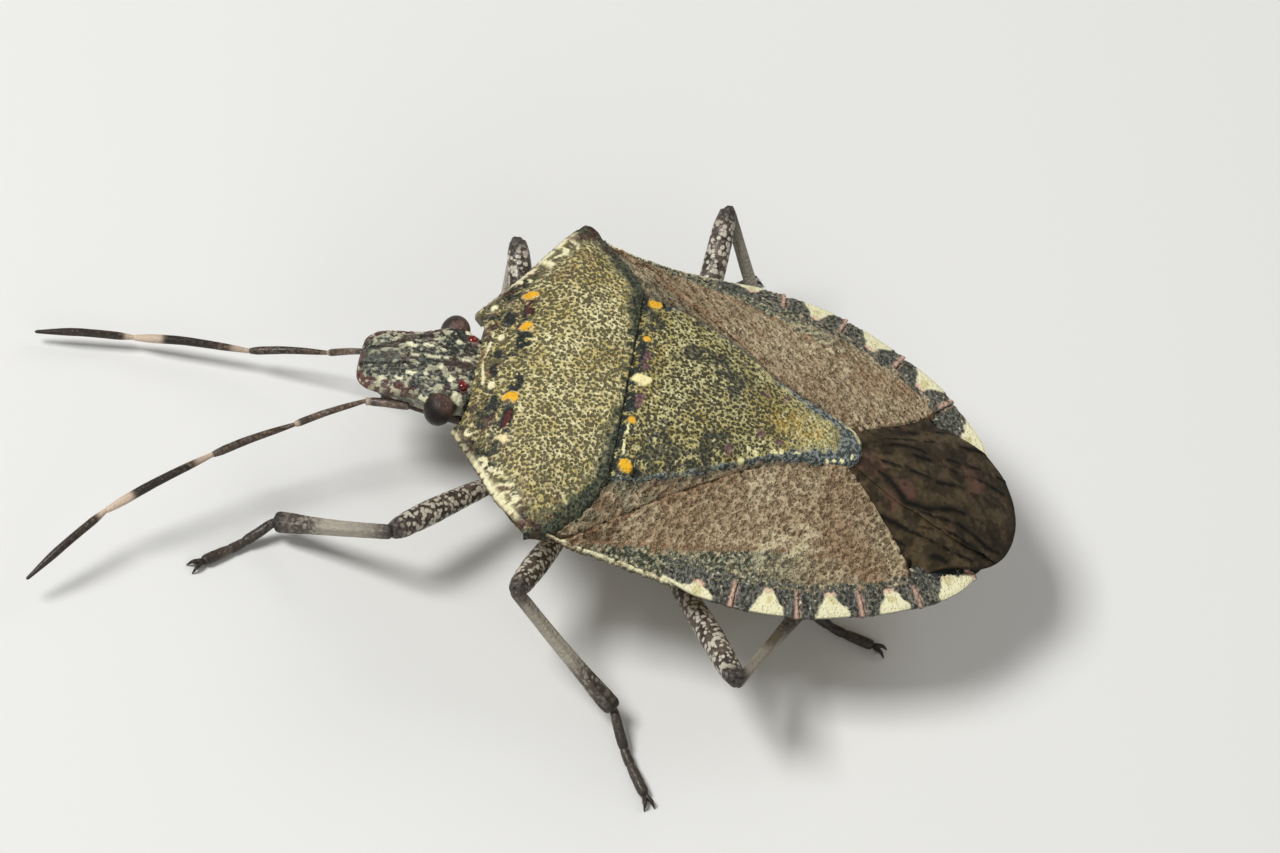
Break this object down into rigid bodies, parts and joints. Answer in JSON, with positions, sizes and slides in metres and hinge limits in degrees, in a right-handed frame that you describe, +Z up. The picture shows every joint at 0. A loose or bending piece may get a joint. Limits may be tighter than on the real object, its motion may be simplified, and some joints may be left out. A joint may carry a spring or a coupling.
{
  "type": "brown marmorated stink bug",
  "caption": "Still, life-size model of a brown marmorated stink bug standing on six feet, with folded wings and feelers held forward.",
  "frame": {"origin": "centre of the model's bounding box, on the floor under its feet", "axes": "+Z up; -Y the way the head points; +X the animal's left"},
  "size_m": [0.0152, 0.022, 0.0048],
  "materials": {
    "head": "finely pitted horn-like shell, satin",
    "eye": "faceted, glossy dark red-brown",
    "shield": "olive-gold shell with dark metallic pits, satin",
    "corium": "leathery, finely pitted, low sheen",
    "membrane": "thin dark veined wing, semi-gloss",
    "rim": "banded black and ivory, pitted, satin",
    "underside": "pale horn-like plates, satin",
    "leg": "brown horn with cream speckles, satin",
    "antenna": "dark brown horn with cream bands, satin"
  },
  "bodies": {
    "root": {"head": "head", "eye_left": "eye", "eye_right": "eye", "rostrum": "underside", "pronotum": "shield", "scutellum": "shield", "corium_left": "corium", "corium_right": "corium", "membrane_left": "membrane", "membrane_right": "membrane", "abdomen": "underside", "thorax": "underside", "connexivum_left": "rim", "connexivum_right": "rim", "femur_fore_left": "leg", "femur_fore_right": "leg", "femur_mid_left": "leg", "femur_mid_right": "leg", "femur_hind_left": "leg", "femur_hind_right": "leg", "tibia_fore_left": "leg", "tibia_fore_right": "leg", "tibia_mid_left": "leg", "tibia_mid_right": "leg", "tibia_hind_left": "leg", "tibia_hind_right": "leg", "tarsus_fore_left": "leg", "tarsus_fore_right": "leg", "tarsus_mid_left": "leg", "tarsus_mid_right": "leg", "tarsus_hind_left": "leg", "tarsus_hind_right": "leg", "antenna_left_1": "antenna", "antenna_left_2": "antenna", "antenna_left_3": "antenna", "antenna_left_4": "antenna", "antenna_left_5": "antenna", "antenna_right_1": "antenna", "antenna_right_2": "antenna", "antenna_right_3": "antenna", "antenna_right_4": "antenna", "antenna_right_5": "antenna"}
  },
  "joints": []
}
